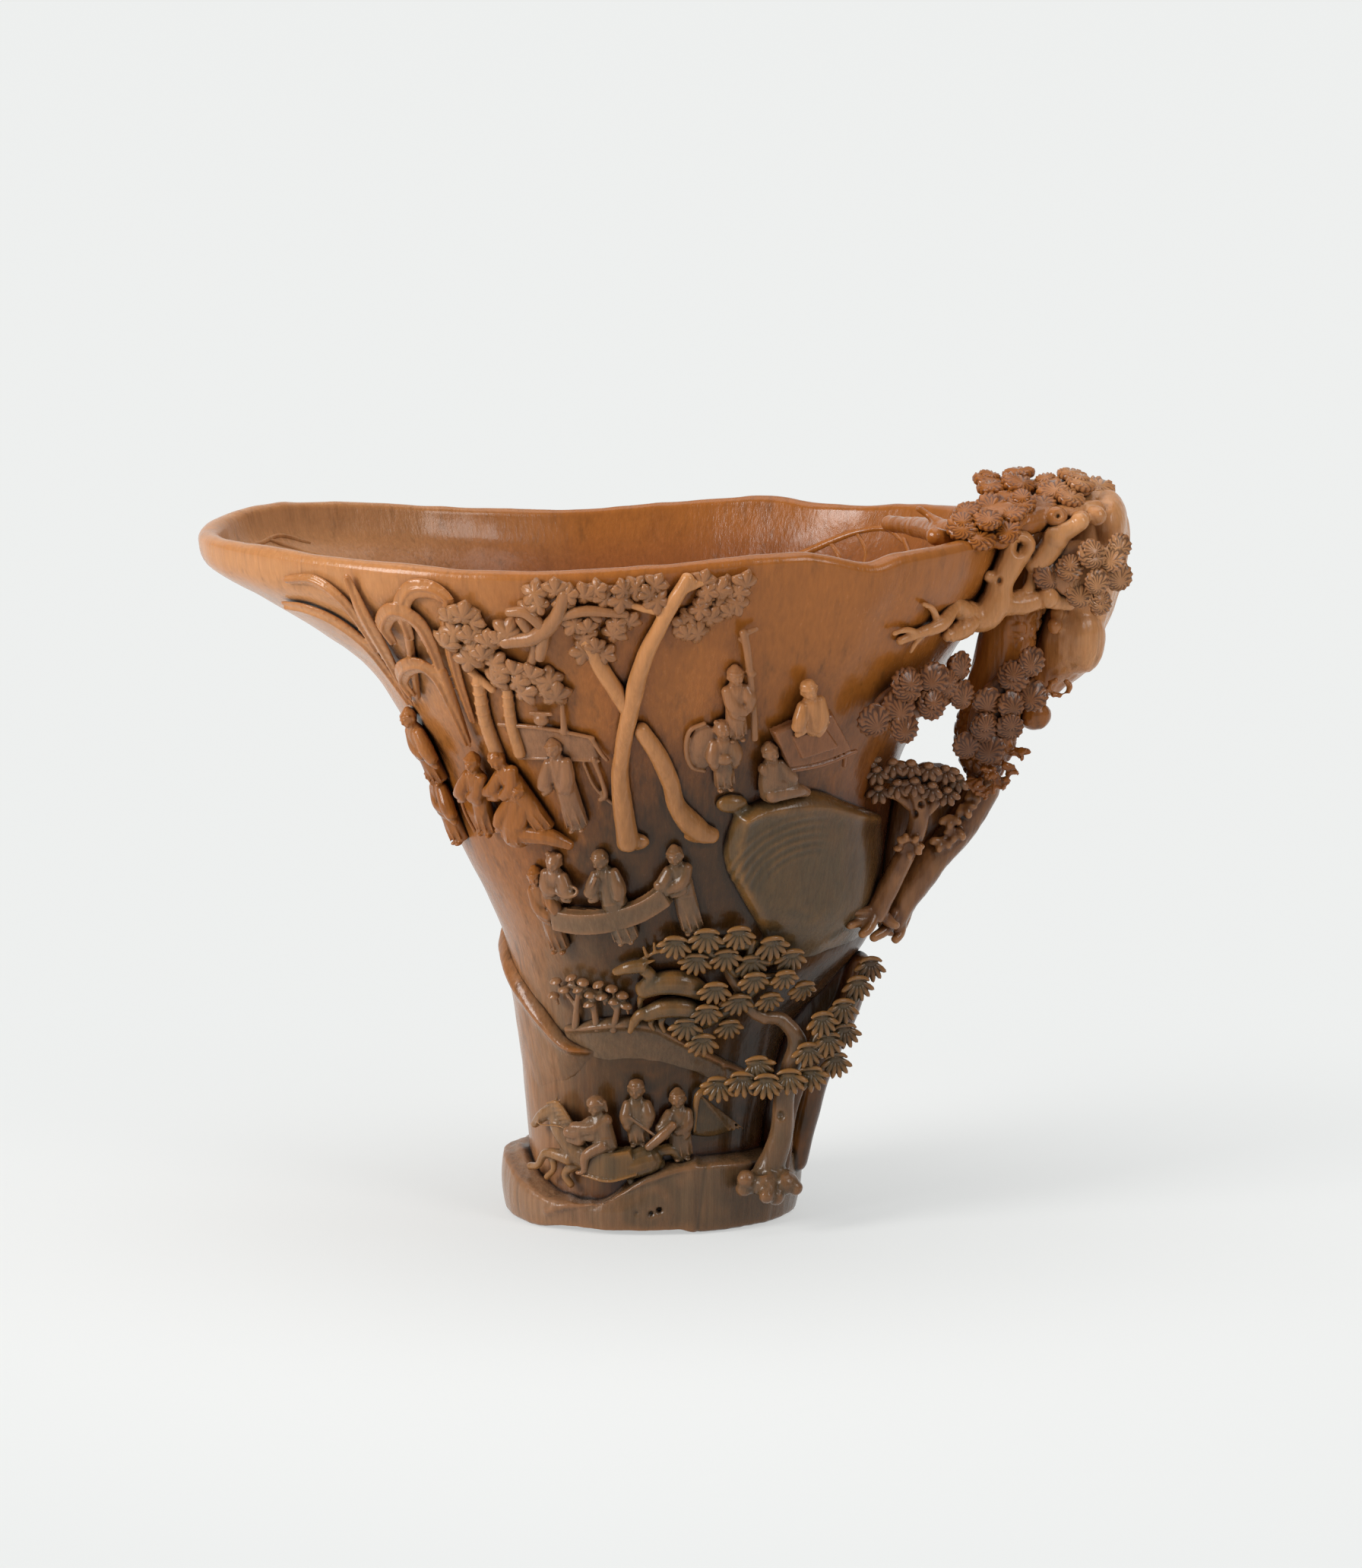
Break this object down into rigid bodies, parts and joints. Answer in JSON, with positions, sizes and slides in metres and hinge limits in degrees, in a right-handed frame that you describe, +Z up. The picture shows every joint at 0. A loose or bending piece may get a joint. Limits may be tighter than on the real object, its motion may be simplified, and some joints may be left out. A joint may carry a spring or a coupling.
{
  "type": "carved horn libation cup",
  "caption": "Carved horn libation cup with a flaring mouth, pouring lip, openwork pine and rock handle, and a landscape with scholars cut in relief over the wall",
  "frame": {"origin": "centre of the flat underside of the foot", "axes": "+Z up through the cup, +X toward the handle with the pouring lip at -X, -Y toward the front relief"},
  "size_m": [0.1685, 0.1016, 0.1371],
  "materials": {
    "horn_amber": "polished translucent horn with fine lengthwise fibres, amber to brown",
    "horn_honey": "polished golden horn",
    "horn_brown": "satin brown horn",
    "horn_olive": "satin grey-green horn near the core",
    "horn_mauve": "satin purplish brown horn, finely cut"
  },
  "bodies": {
    "root": {"cup_body": "horn_amber", "horse_rider": "horn_brown", "horse": "horn_olive", "groom_with_roll": "horn_brown", "groom_with_folded_hands": "horn_brown", "banner_rock": "horn_olive", "deer_with_antlers": "horn_olive", "deer_grazing": "horn_olive", "saplings": "horn_honey", "scroll_holder_left": "horn_amber", "bowl_bearer": "horn_brown", "scroll": "horn_amber", "scroll_reader": "horn_brown", "scroll_holder_right": "horn_brown", "staff_bearer": "horn_brown", "bundle_bearer": "horn_brown", "seated_attendant": "horn_brown", "writing_table": "horn_mauve", "writer": "horn_honey", "kneeling_figure": "horn_amber", "stick_bearer": "horn_amber", "capped_elder": "horn_amber", "standing_scholar": "horn_brown", "scholars_at_the_edge": "horn_amber", "antique_table": "horn_brown", "tree_in_front": "horn_honey", "tree_behind_top": "horn_honey", "tree_behind_foot": "horn_honey", "maple_leaves_left": "horn_honey", "maple_leaves_high": "horn_amber", "plantain_leaf_long": "horn_amber", "plantain_leaf_curled": "horn_amber", "plantain_stems": "horn_honey", "small_tree_leaves": "horn_olive", "small_tree": "horn_honey", "climbing_stem": "horn_honey", "lower_pine_trunk": "horn_brown", "lower_pine_fans_top": "horn_mauve", "lower_pine_fans_middle": "horn_mauve", "lower_pine_fans_low": "horn_mauve", "lower_pine_fans_right": "horn_mauve", "outer_fold": "horn_amber", "handle_branch": "horn_honey", "crown_branch": "horn_amber", "crown_pads_left": "horn_mauve", "crown_pads_top": "horn_mauve", "handle_pads_right": "horn_mauve", "handle_pads_left": "horn_mauve", "handle_pads_middle": "horn_mauve", "handle_trunk": "horn_amber", "handle_rock": "horn_amber", "boulder": "horn_olive", "middle_hill": "horn_brown", "left_hill": "horn_amber", "foot_ledge_front": "horn_brown", "foot_ledge_back": "horn_brown", "back_pine": "horn_mauve", "back_scholar": "horn_brown", "back_cliff": "horn_olive"}
  },
  "joints": []
}
